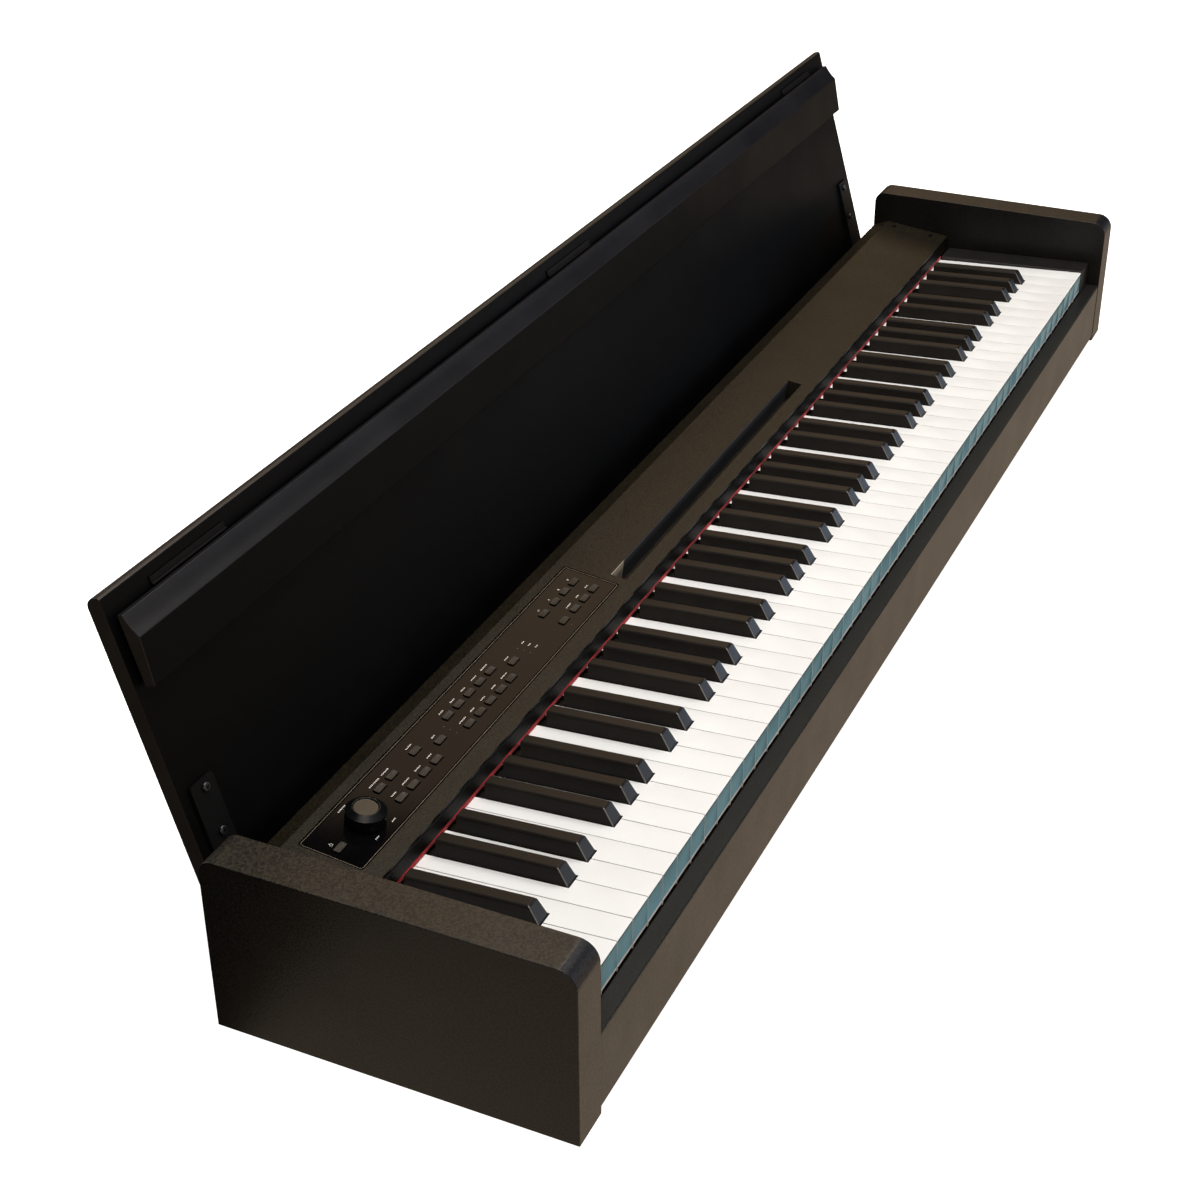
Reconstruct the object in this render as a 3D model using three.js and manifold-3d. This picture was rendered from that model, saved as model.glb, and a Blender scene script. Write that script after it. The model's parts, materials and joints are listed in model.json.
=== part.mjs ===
// A slim digital piano with 88 keys, standing on its two end panels with the lid open.
// Millimetres. X runs from bass to treble, Y away from the player and Z up.
// While it is built, X = 0 is its middle, Y = 0 the fronts of the keys and Z = 0 the feet.
import * as THREE from 'three';
import { mergeVertices } from 'three/addons/utils/BufferGeometryUtils.js';
import Module from 'manifold-3d';

const wasm = await Module();
wasm.setup();
const radians = THREE.MathUtils.degToRad;

// Shared clearances
const seatGap = 0.3;
const overrun = 5;
const arcSteps = 6;

// Keyboard
const pitch = 23.5;
const keyGap = 0.6;
const firstNote = 21;
const lastNote = 108;
const keyTopHeight = 88;
const keySlope = radians(3.5);
const whiteVisible = 154.4;
const whiteUnderFelt = 5;
const whiteHidden = 54.6;
const whiteEdge = 0.8;
const frontDrop = 22;
const skirtLength = 24;
const stemDepth = 18;
const whiteStep = 9.5;
const whiteRail = 6;
const pivotFromEnd = 10;
const blackBase = 13;
const blackTop = 9.8;
const blackHeight = 12;
const blackShoulder = 1.2;
const blackNose = 51.5;
const blackNoseLean = 6.5;
const blackNoseRoom = 1;
const blackCapShort = 7;
const blackStemTop = 4;
const blackEndShort = 8;
const blackRail = 10;
const blackRailDepth = 4;
// How far each black key sits off the joint of its two white keys, as a share of the pitch.
const blackOffsetShares = { 1: -0.11, 3: 0.11, 6: -0.15, 8: 0, 10: 0.13 };

// Cabinet
const panelThickness = 31;
const cheekSpace = 31;
const cabinetFront = -14.5;
const backRoom = 33;
const cabinetHeight = 133.5;
const panelFrontRadius = 14;
const panelBackRadius = 11;
const footClearance = 5;
const boardThickness = 15;
const frontBoardSetback = 0.5;
const keyFrontClearance = 1;
const slipDrop = 23.5;
const slipThickness = 1.6;
const slipSetback = 0.7;
const cheekFrontRise = 1;
const cheekBackDrop = 6;
const cheekBottomDrop = 43;
const backSetback = 0.5;
const backBoardDrop = 0.19;
const backBoardChamfer = 7;
const battenDepth = 6;
const battenHeight = 14;
const battenInset = 42;

// Top panel, fallboard and felt
const topPanelRise = 6.9;
const topPanelSlope = radians(6.35);
const topPanelPlate = 3;
const fallUnderPanel = 9.5;
const fallLean = 2.1;
const feltOverKeys = 0.5;
const feltHeight = 3.3;
const feltDepth = 6;
const feltOverhang = 1;
const grooveFromOverlay = 9.5;
const grooveLength = 401.5;
const grooveFront = 12.1;
const grooveWidth = 14;
const grooveDepth = 19;
const grooveWall = 2;

// Controls, measured along the top panel's slope from its front edge
const overlayInset = 41;
const overlayWidth = 394;
const overlayFront = 13.9;
const overlayDepth = 48;
const overlayRadius = 2.5;
const overlayThickness = 1.2;
const overlaySink = 0.3;
const buttonWidth = 10.2;
const buttonDepth = 4.8;
const buttonProud = 1;
const buttonClearance = 0.4;
const buttonWeb = 1.5;
const buttonWebMargin = 1.2;
const frontRow = 28.7;
const middleRow = 37;
const backRow = 45.8;
const knobShaft = 3;
const knobCollar = 12.5;
const knobCollarHeight = 0.8;
const knobCap = 13.9;
const knobShoulder = 2.8;
const knobCapHeight = 12;
const knobDish = 8.1;
const knobDishDepth = 0.8;
const knobRim = 0.5;
const knobSides = 40;
const boardSheet = 1.6;
const panelBoardFront = 20;
const panelBoardDepth = 42;
const panelBoardInset = 2;
const panelBoardDrop = 3.4;
const bossWidth = 4;
const bossDepth = 2.6;
const potentiometerWidth = 14;
// Where each group of controls starts along the overlay, as a share of its width.
const powerShare = 0.0287;
const knobShare = 0.1091;
const songShare = 0.1954;
const effectShare = 0.1929;
const functionShare = 0.316;
const bankShare = 0.3665;
const voiceShare = 0.4365;
const splitShare = 0.6497;
const stepShare = 0.0406;
const transportShares = [0.8236, 0.8731, 0.9162, 0.9569];

// Lid, its hinge arms and the folded flap, drawn with the lid closed
const lidPivotFromBack = 14.4;
const lidPivotDrop = 11.9;
const lidOpenAngle = radians(106.4);
const lidOverPivot = 40.9;
const lidThickness = 11.5;
const lidBackShort = 1;
const lidSideGap = 1.5;
const lidNoseRadius = 7;
const lidNoseUnderRadius = 2.5;
const lidTailRadius = 1.5;
const armFlangeWidth = 24;
const armFlangeThickness = 2;
const armFlangeLength = 110.5;
const armFlangeBehindPivot = 23.9;
const armFlangeRadius = 3;
const armInset = 11;
const armWeb = 2.4;
const armWebBehindPivot = 15.2;
const armWebKneeRise = 21.9;
const armBoss = 8;
const armBore = 3.4;
const hingePin = 3;
const hingePinReach = 15;
const bracketPlate = 2;
const bracketSize = 24;
const slotClearance = 0.8;
const slotUnderPivot = 36.6;
const flapAxisFromNose = 14;
const flapAxisDrop = 1.3;
const flapTopGap = 1.3;
const flapLength = 49.5;
const flapEndInset = 8;
const flapTopInner = 2.2;
const flapTopOuter = 6.5;
const flapCrest = 13.6;
const flapCrestAlong = 15.2;
const flapFootInner = 2.6;
const flapFootOuter = 10.5;
const flapHingeLength = 80;
const flapHingeInset = 85;
const flapBarrel = 1;
const flapLeaf = 0.8;
const flapLeafLength = 5;

// Frame, boards, speakers and sockets inside
const frameFront = 3;
const frameFrontDepth = 17;
const frameFrontRoom = 11.5;
const frameRearFromPivot = 5;
const frameRearDepth = 14;
const frameRibRoom = 16;
const frameRibWidth = 8;
const frameRibSpaces = 6;
const fulcrumWidth = 2;
const contactFront = 100;
const contactDepth = 40;
const contactStrip = 12;
const contactStripHeight = 2;
const speakerShare = 0.5;
const speakerCentreY = 75;
const speakerWidth = 130;
const speakerDepth = 70;
const speakerFlange = 3;
const speakerBasket = 12;
const speakerBasketInset = 12;
const speakerMagnet = 22;
const speakerMagnetHeight = 30;
const slotCount = 7;
const slotWidth = 5;
const slotPitch = 9;
const slotLength = 92;
const jackBlockWidth = 110;
const jackBlockBottom = 9;
const jackBlockHeight = 22;
const jackBlockDepth = 15;
const jackBoreDepth = 12;
const powerInlet = 8;
const plugSocket = 6.6;
const jackSpacing = 36;
const boreSides = 16;

// Sizes that follow from the ones above
const isBlack = (note) => note % 12 in blackOffsetShares;
const notes = Array.from({ length: lastNote - firstNote + 1 }, (_, index) => firstNote + index);
const whiteNotes = notes.filter((note) => !isBlack(note));
const halfKeys = (whiteNotes.length * pitch) / 2;
const whiteEnd = whiteVisible + whiteHidden;
const pivotAlong = whiteEnd - pivotFromEnd;
const blackCapEnd = whiteVisible - blackCapShort;
const blackEnd = whiteEnd - blackEndShort;
const innerHalf = halfKeys + cheekSpace;
const fitHalf = innerHalf - seatGap;
const cabinetBack = whiteEnd + backRoom;
const frontBoardFace = cabinetFront + frontBoardSetback;
const frontBoardBack = -keyFrontClearance;
const backFace = cabinetBack - backSetback;
const backInner = backFace - boardThickness;
const floorTop = footClearance + boardThickness;
const slipTop = keyTopHeight - slipDrop;
const fallFront = whiteVisible * Math.cos(keySlope);
const feltBottom = keyTopHeight - whiteVisible * Math.sin(keySlope) + feltOverKeys;
const fallBottom = feltBottom + feltHeight + seatGap;
const fallTopFront = fallFront + fallLean;
const topPanelFront = fallTopFront + seatGap;
const topPanelFrontHeight = keyTopHeight + topPanelRise;
const fallBack = topPanelFront + fallUnderPanel;
const overlayLeft = overlayInset - innerHalf;
const overlayX = (share) => overlayLeft + share * overlayWidth;
const knobX = overlayX(knobShare);
const grooveLeft = overlayLeft + overlayWidth + grooveFromOverlay;
const lidPivotY = backInner - lidPivotFromBack;
const lidPivotZ = keyTopHeight - lidPivotDrop;
const lidUnder = lidPivotZ + lidOverPivot;
const lidBack = cabinetBack - lidBackShort;
const lidHalf = innerHalf - lidSideGap;
const armFlangeBack = lidPivotY + armFlangeBehindPivot;
const armFlangeFront = armFlangeBack - armFlangeLength;
const armKneeTop = lidPivotZ + armWebKneeRise;
const slotBottom = lidPivotZ - slotUnderPivot;
const flapAxisY = cabinetFront + flapAxisFromNose;
const flapHingeOffset = lidHalf - flapHingeInset;
const frameFrontTop = keyTopHeight - frontDrop - frameFrontRoom;
const frameRibTop = keyTopHeight - stemDepth - frameRibRoom;
const frameRearFront = pivotAlong - frameRearFromPivot;
const overlayBed = overlaySink + overlayThickness + seatGap;
const webTop = topPanelPlate + seatGap;

// Finishes
const finish = (color, roughness, metalness = 0) => new THREE.MeshStandardMaterial({ color, roughness, metalness });
const cabinetBrown = () => finish('#2b2622', 0.6);
const lidBlack = () => finish('#151416', 0.45);
const innerBoard = () => finish('#8a6f4f', 0.8);
const darkPlastic = () => finish('#201d1b', 0.5);
const steel = () => finish('#9a9a9c', 0.35, 0.9);
const circuit = () => finish('#1f5a37', 0.5);

// A flat drawing becomes a solid along X: its two directions are then Y and Z.
function alongX(shape, fromX, toX, curveSegments = arcSteps) {
  const geometry = new THREE.ExtrudeGeometry(shape, { depth: toX - fromX, bevelEnabled: false, curveSegments });
  const toSide = new THREE.Matrix4().makeBasis(
    new THREE.Vector3(0, 1, 0), new THREE.Vector3(0, 0, 1), new THREE.Vector3(1, 0, 0));
  geometry.applyMatrix4(toSide);
  return geometry.translate(fromX, 0, 0);
}

// A flat drawing in X and Y becomes a solid between two heights.
function upwards(shape, bottom, top, curveSegments = arcSteps) {
  const geometry = new THREE.ExtrudeGeometry(shape, { depth: top - bottom, bevelEnabled: false, curveSegments });
  return geometry.translate(0, 0, bottom);
}

function outline(points) {
  return new THREE.Shape(points.map(([across, up]) => new THREE.Vector2(across, up)));
}

function block(fromX, toX, fromY, toY, fromZ, toZ) {
  const geometry = new THREE.BoxGeometry(toX - fromX, toY - fromY, toZ - fromZ);
  return geometry.translate((fromX + toX) / 2, (fromY + toY) / 2, (fromZ + toZ) / 2);
}

function roundedRectangle(centreX, centreY, width, depth, radius) {
  const shape = new THREE.Shape();
  const right = width / 2 - radius;
  const far = depth / 2 - radius;
  shape.absarc(centreX + right, centreY + far, radius, 0, Math.PI / 2);
  shape.absarc(centreX - right, centreY + far, radius, Math.PI / 2, Math.PI);
  shape.absarc(centreX - right, centreY - far, radius, Math.PI, 1.5 * Math.PI);
  shape.absarc(centreX + right, centreY - far, radius, 1.5 * Math.PI, 2 * Math.PI);
  return shape;
}

// A round bar along X, or with its axis turned to Y or Z.
function bar(radius, from, to, axis, sides = boreSides) {
  const geometry = new THREE.CylinderGeometry(radius, radius, to - from, sides);
  geometry.translate(0, (from + to) / 2, 0);
  if (axis === 'x') geometry.rotateZ(-Math.PI / 2);
  if (axis === 'z') geometry.rotateX(Math.PI / 2);
  return geometry;
}

function solidOf(geometry) {
  const bare = geometry.clone();
  bare.deleteAttribute('normal');
  bare.deleteAttribute('uv');
  const merged = mergeVertices(bare);
  return new wasm.Manifold(new wasm.Mesh({
    numProp: 3,
    vertProperties: merged.attributes.position.array,
    triVerts: new Uint32Array(merged.index.array),
  }));
}

function geometryOf(solid) {
  const mesh = solid.getMesh();
  const geometry = new THREE.BufferGeometry();
  geometry.setAttribute('position', new THREE.BufferAttribute(new Float32Array(mesh.vertProperties), 3));
  geometry.setIndex(Array.from(mesh.triVerts));
  geometry.computeVertexNormals();
  return geometry;
}

const joined = (geometries) => geometries.map(solidOf).reduce((whole, next) => whole.add(next));
const combine = (...geometries) => geometryOf(joined(geometries));
const carve = (base, cutters) => geometryOf(joined([base]).subtract(joined(cutters)));
const overlapOf = (first, second) => geometryOf(solidOf(first).intersect(solidOf(second)));

function part(parent, name, geometry, material) {
  const mesh = new THREE.Mesh(geometry, material);
  mesh.name = name;
  parent.add(mesh);
  return mesh;
}

// Height of the sloping top panel's surface, or of a plane below it, at a distance from the key fronts.
function topPanelHeight(y, below = 0) {
  return topPanelFrontHeight + (y - topPanelFront) * Math.tan(topPanelSlope) - below / Math.cos(topPanelSlope);
}

// A place on a key, along it and down from its top, in the cabinet's Y and Z.
function onKey(along, down) {
  const y = along * Math.cos(keySlope) - down * Math.sin(keySlope);
  const z = keyTopHeight - along * Math.sin(keySlope) - down * Math.cos(keySlope);
  return [y, z];
}

// Cabinet boards

function endPanelShape() {
  const shape = new THREE.Shape();
  shape.moveTo(cabinetFront, 0);
  shape.lineTo(cabinetBack, 0);
  const backCentre = cabinetBack - panelBackRadius;
  shape.absarc(backCentre, cabinetHeight - panelBackRadius, panelBackRadius, 0, Math.PI / 2);
  const frontCentre = cabinetFront + panelFrontRadius;
  shape.absarc(frontCentre, cabinetHeight - panelFrontRadius, panelFrontRadius, Math.PI / 2, Math.PI);
  return shape;
}

function cheekShape() {
  const back = fallFront - seatGap;
  return outline([
    [frontBoardBack + seatGap, keyTopHeight - cheekBottomDrop],
    [back, keyTopHeight - cheekBottomDrop],
    [back, keyTopHeight - cheekBackDrop],
    [frontBoardBack + seatGap, keyTopHeight + cheekFrontRise],
  ]);
}

function backBoard() {
  const innerTop = topPanelHeight(backInner) - backBoardDrop;
  const section = outline([
    [backInner, footClearance],
    [backFace, footClearance],
    [backFace, innerTop - backBoardChamfer],
    [backInner, innerTop],
  ]);
  const battenFront = backInner - battenDepth;
  const battenTop = topPanelPlate + seatGap;
  const batten = outline([
    [battenFront, topPanelHeight(battenFront, battenTop) - battenHeight],
    [backInner + seatGap, topPanelHeight(battenFront, battenTop) - battenHeight],
    [backInner + seatGap, topPanelHeight(backInner, battenTop)],
    [battenFront, topPanelHeight(battenFront, battenTop)],
  ]);
  const battenHalf = innerHalf - battenInset;
  const solid = combine(alongX(section, -fitHalf, fitHalf), alongX(batten, -battenHalf, battenHalf));
  const jackHalf = jackBlockWidth / 2 + seatGap;
  const jackTop = jackBlockBottom + jackBlockHeight + seatGap;
  const cutters = [block(
    -jackHalf, jackHalf, backInner - overrun, backFace + overrun, jackBlockBottom - seatGap, jackTop)];
  for (const side of [-1, 1]) {
    const near = side * (innerHalf - armInset + slotClearance);
    const far = side * (innerHalf - armInset - armWeb - slotClearance);
    cutters.push(block(
      Math.min(near, far), Math.max(near, far),
      backInner - overrun, backFace + overrun, slotBottom, innerTop + overrun));
  }
  return carve(solid, cutters);
}

function frameRibX(index) {
  const first = -halfKeys + frameRibWidth / 2;
  return first + (index * (2 * halfKeys - frameRibWidth)) / frameRibSpaces;
}

const speakerX = speakerShare * (halfKeys - frameRibWidth / 2);

function bottomBoard() {
  const board = block(-fitHalf, fitHalf, frontBoardBack + seatGap, backInner - seatGap, footClearance, floorTop);
  const cutters = [];
  for (const side of [-1, 1]) {
    for (let index = 0; index < slotCount; index += 1) {
      const y = speakerCentreY + (index - (slotCount - 1) / 2) * slotPitch;
      cutters.push(block(
        side * speakerX - slotLength / 2, side * speakerX + slotLength / 2,
        y - slotWidth / 2, y + slotWidth / 2, -overrun, floorTop + overrun));
    }
  }
  return carve(board, cutters);
}

function addCabinet(parent) {
  for (const [name, side] of [['left', -1], ['right', 1]]) {
    const inner = side * innerHalf;
    const outer = side * (innerHalf + panelThickness);
    const panel = alongX(endPanelShape(), Math.min(inner, outer), Math.max(inner, outer), 2 * arcSteps);
    part(parent, `${name}_end_panel`, panel, cabinetBrown());
    const cheekOuter = side * fitHalf;
    const cheekInner = side * (halfKeys + keyFrontClearance);
    const cheek = alongX(cheekShape(), Math.min(cheekOuter, cheekInner), Math.max(cheekOuter, cheekInner));
    part(parent, `${name}_cheek_block`, cheek, darkPlastic());
  }
  part(parent, 'bottom_board', bottomBoard(), innerBoard());
  part(parent, 'back_board', backBoard(), cabinetBrown());
  const boardTop = slipTop - slipThickness - seatGap;
  const front = block(-fitHalf, fitHalf, frontBoardFace, frontBoardBack, footClearance, boardTop);
  part(parent, 'front_board', front, cabinetBrown());
  const slipFront = frontBoardFace + slipSetback;
  const slip = block(-fitHalf, fitHalf, slipFront, frontBoardBack, slipTop - slipThickness, slipTop);
  part(parent, 'key_slip', slip, cabinetBrown());
}

// Fallboard and felt

function addFallboard(parent) {
  const under = topPanelPlate + seatGap;
  const shape = outline([
    [fallFront, fallBottom],
    [fallBack, fallBottom],
    [fallBack, topPanelHeight(fallBack, under)],
    [fallTopFront, topPanelHeight(fallTopFront, under)],
  ]);
  part(parent, 'fallboard', alongX(shape, -fitHalf, fitHalf), finish('#0c0c0d', 0.12));
  const feltHalf = halfKeys + feltOverhang;
  const felt = block(-feltHalf, feltHalf, fallFront, fallFront + feltDepth, feltBottom, feltBottom + feltHeight);
  part(parent, 'key_felt', felt, finish('#8f2228', 0.95));
}

// Keys, drawn along their slope: Y is then the distance from the front and Z the height over the top.

function whiteKeySolid(note, index) {
  const left = -halfKeys + index * pitch + keyGap / 2;
  const right = left + pitch - keyGap;
  const side = outline([
    [0, -whiteEdge],
    [whiteEdge, 0],
    [whiteVisible + whiteUnderFelt, 0],
    [whiteVisible + whiteUnderFelt, -whiteStep],
    [whiteEnd, -whiteStep],
    [whiteEnd, -stemDepth],
    [skirtLength, -stemDepth],
    [skirtLength, -frontDrop],
    [frontDrop * Math.tan(keySlope), -frontDrop],
  ]);
  let solid = solidOf(alongX(side, left, right));
  for (const neighbour of [note - 1, note + 1]) {
    if (isBlack(neighbour) && neighbour >= firstNote && neighbour <= lastNote) {
      const half = blackBase / 2 + keyGap;
      const centre = blackKeyX(neighbour);
      const notch = block(centre - half, centre + half,
        blackNose - blackNoseRoom, whiteEnd + overrun, -frontDrop - overrun, overrun);
      solid = solid.subtract(solidOf(notch));
    }
  }
  return solid;
}

function blackKeyX(note) {
  const whitesBelow = whiteNotes.filter((white) => white < note).length;
  return -halfKeys + (whitesBelow + blackOffsetShares[note % 12]) * pitch;
}

function blackKeySolid(note) {
  const half = blackBase / 2;
  const topHalf = blackTop / 2;
  const shoulder = blackHeight - blackShoulder;
  const section = outline([
    [-half, -stemDepth], [half, -stemDepth], [half, 0],
    [topHalf + blackShoulder / 2, shoulder], [topHalf - blackShoulder / 2, blackHeight],
    [blackShoulder / 2 - topHalf, blackHeight], [-topHalf - blackShoulder / 2, shoulder], [-half, 0],
  ]);
  // The cross-section runs along the key, so its drawing stands up.
  const along = upwards(section, -blackEnd, 0).rotateX(Math.PI / 2);
  const side = outline([
    [blackNose, -stemDepth],
    [blackEnd, -stemDepth],
    [blackEnd, -blackStemTop],
    [blackCapEnd, -blackStemTop],
    [blackCapEnd, blackHeight],
    [blackNose + blackNoseLean + blackShoulder, blackHeight],
    [blackNose + blackNoseLean - blackShoulder / 2, shoulder],
    [blackNose, 0],
  ]);
  const key = solidOf(overlapOf(along, alongX(side, -blackBase, blackBase)));
  return key.translate([blackKeyX(note), 0, 0]);
}

function railUnder(solids, fromY, toY, top, bottom) {
  const whole = solids.reduce((keys, next) => keys.add(next));
  const box = whole.boundingBox();
  return whole.add(solidOf(block(box.min[0], box.max[0], fromY, toY, bottom, top)));
}

function addKeys(parent) {
  const keyboard = new THREE.Group();
  keyboard.position.z = keyTopHeight;
  keyboard.rotation.x = -keySlope;
  parent.add(keyboard);
  const names = ['c', 'c_sharp', 'd', 'd_sharp', 'e', 'f', 'f_sharp', 'g', 'g_sharp', 'a', 'a_sharp', 'b'];
  const lowestOctave = 1;
  const singleOctave = 4;
  const highestOctave = 7;
  for (let octave = lowestOctave; octave <= highestOctave; octave += 1) {
    const inOctave = notes.filter((note) => {
      const own = Math.floor(note / 12) - 1;
      return Math.min(Math.max(own, lowestOctave), highestOctave) === octave;
    });
    const whites = inOctave.filter((note) => !isBlack(note));
    const blacks = inOctave.filter(isBlack);
    const whiteSolids = whites.map((note) => whiteKeySolid(note, whiteNotes.indexOf(note)));
    const blackSolids = blacks.map(blackKeySolid);
    const white = () => finish('#f3f1ec', 0.25);
    const black = () => finish('#221f1e', 0.45);
    if (octave === singleOctave) {
      whites.forEach((note, index) => part(
        keyboard, `white_key_${names[note % 12]}${octave}`, geometryOf(whiteSolids[index]), white()));
      blacks.forEach((note, index) => part(
        keyboard, `black_key_${names[note % 12]}${octave}`, geometryOf(blackSolids[index]), black()));
    } else {
      const whiteComb = railUnder(whiteSolids, whiteEnd - whiteRail, whiteEnd, -whiteStep, -stemDepth);
      part(keyboard, `white_keys_octave_${octave}`, geometryOf(whiteComb), white());
      const railTop = -blackStemTop;
      const blackComb = railUnder(
        blackSolids, blackEnd - blackRail, blackEnd, railTop, railTop - blackRailDepth);
      part(keyboard, `black_keys_octave_${octave}`, geometryOf(blackComb), black());
    }
  }
}

// Top panel and controls. X runs along the cabinet, Y up the panel's slope and Z out of it.

const topPanelLength = (
  backInner - seatGap - topPanelPlate * Math.sin(topPanelSlope) - topPanelFront) / Math.cos(topPanelSlope);

// Each group of buttons is one moulding: its name and the places of its buttons.
const sharesFrom = (share, count) => Array.from({ length: count }, (_, index) => share + index * stepShare);
const inRow = (shares, y) => shares.map((share) => [overlayX(share), y]);
const inBothRows = (shares) => [...inRow(shares, backRow), ...inRow(shares, frontRow)];
const buttonGroups = {
  power_button: inRow([powerShare], middleRow),
  song_buttons: inRow(sharesFrom(songShare, 2), backRow),
  effect_buttons: inRow(sharesFrom(effectShare, 4), frontRow),
  function_button: inRow([functionShare], backRow),
  bank_button: inRow([bankShare], middleRow),
  voice_buttons: inBothRows(sharesFrom(voiceShare, 5)),
  split_button: inRow([splitShare], middleRow),
  transport_buttons: inBothRows(transportShares),
};

const panelBoardX = overlayLeft + panelBoardInset;
const panelBoardEnd = overlayLeft + overlayWidth - panelBoardInset;

function buttonHole([x, y]) {
  const halfWidth = buttonWidth / 2 + buttonClearance;
  const halfDepth = buttonDepth / 2 + buttonClearance;
  return block(x - halfWidth, x + halfWidth, y - halfDepth, y + halfDepth, -overrun, overrun);
}

function knobHole() {
  return bar(knobShaft + buttonClearance, -overrun, overrun, 'z').translate(knobX, middleRow, 0);
}

function topPanel() {
  const plate = block(-fitHalf, fitHalf, 0, topPanelLength, -topPanelPlate, 0);
  const grooveRight = grooveLeft + grooveLength;
  const grooveBack = grooveFront + grooveWidth;
  const trough = block(
    grooveLeft - grooveWall, grooveRight + grooveWall,
    grooveFront - grooveWall, grooveBack + grooveWall, -grooveDepth - grooveWall, 0);
  const bosses = [];
  const bossXs = [panelBoardX + bossWidth, (panelBoardX + panelBoardEnd) / 2, panelBoardEnd - bossWidth];
  for (const x of bossXs) {
    for (const y of [panelBoardFront, panelBoardFront + panelBoardDepth - bossDepth]) {
      bosses.push(block(
        x - bossWidth / 2, x + bossWidth / 2, y, y + bossDepth,
        -topPanelPlate - panelBoardDrop + seatGap, -topPanelPlate / 2));
    }
  }
  const bed = roundedRectangle(
    overlayLeft + overlayWidth / 2, overlayFront + overlayDepth / 2,
    overlayWidth + 2 * seatGap, overlayDepth + 2 * seatGap, overlayRadius + seatGap);
  return carve(combine(plate, trough, ...bosses), [
    block(grooveLeft, grooveRight, grooveFront, grooveBack, -grooveDepth, overrun),
    upwards(bed, -overlayBed, overrun),
    knobHole(),
    ...Object.values(buttonGroups).flat().map(buttonHole),
  ]);
}

function overlay() {
  const sheet = roundedRectangle(
    overlayLeft + overlayWidth / 2, overlayFront + overlayDepth / 2, overlayWidth, overlayDepth, overlayRadius);
  const plate = upwards(sheet, -overlaySink - overlayThickness, -overlaySink);
  return carve(plate, [knobHole(), ...Object.values(buttonGroups).flat().map(buttonHole)]);
}

function buttonMoulding(places) {
  const pieces = places.map(([x, y]) => block(
    x - buttonWidth / 2, x + buttonWidth / 2, y - buttonDepth / 2, y + buttonDepth / 2,
    -webTop - buttonWeb / 2, buttonProud - overlaySink));
  const rows = [...new Set(places.map(([, y]) => y))];
  const xs = places.map(([x]) => x);
  const reachX = buttonWidth / 2 + buttonWebMargin;
  const reachY = buttonDepth / 2 + buttonWebMargin;
  for (const y of rows) {
    pieces.push(block(
      Math.min(...xs) - reachX, Math.max(...xs) + reachX, y - reachY, y + reachY, -webTop - buttonWeb, -webTop));
  }
  if (rows.length > 1) {
    const middle = (Math.min(...xs) + Math.max(...xs)) / 2;
    pieces.push(block(
      middle - reachX, middle + reachX, Math.min(...rows), Math.max(...rows), -webTop - buttonWeb, -webTop));
  }
  return combine(...pieces);
}

function knob() {
  const foot = -topPanelPlate;
  const profile = [
    [0, foot],
    [knobShaft, foot],
    [knobShaft, 0],
    [knobCollar, 0],
    [knobCollar, knobCollarHeight],
    [knobCap, knobCollarHeight],
    [knobCap, knobCapHeight - knobShoulder],
    [knobDish + knobDishDepth + knobRim, knobCapHeight],
    [knobDish + knobDishDepth, knobCapHeight],
    [knobDish, knobCapHeight - knobDishDepth],
    [0, knobCapHeight - knobDishDepth],
  ];
  const points = profile.map(([radius, height]) => new THREE.Vector2(radius, height));
  const geometry = new THREE.LatheGeometry(points, knobSides);
  return geometry.rotateX(Math.PI / 2);
}

function panelBoard() {
  const top = -topPanelPlate - panelBoardDrop;
  const sheet = block(
    panelBoardX, panelBoardEnd, panelBoardFront, panelBoardFront + panelBoardDepth, top - boardSheet, top);
  const half = potentiometerWidth / 2;
  const potentiometer = block(
    knobX - half, knobX + half, middleRow - half, middleRow + half,
    top - boardSheet / 2, -topPanelPlate - seatGap);
  return combine(sheet, potentiometer);
}

function addTopPanel(parent) {
  const slope = new THREE.Group();
  slope.position.set(0, topPanelFront, topPanelFrontHeight);
  slope.rotation.x = topPanelSlope;
  parent.add(slope);
  part(slope, 'top_panel', topPanel(), cabinetBrown());
  part(slope, 'control_overlay', overlay(), finish('#0a0a0b', 0.1));
  part(slope, 'main_circuit_board', panelBoard(), circuit());
  for (const [name, places] of Object.entries(buttonGroups)) {
    part(slope, name, buttonMoulding(places), finish('#1c1c1e', 0.4));
  }
  const volume = part(slope, 'volume_knob', knob(), finish('#26262a', 0.35));
  volume.position.set(knobX, middleRow, 0);
}

// Frame under the keys, with the fulcrum that they rock on, and what it carries

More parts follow.
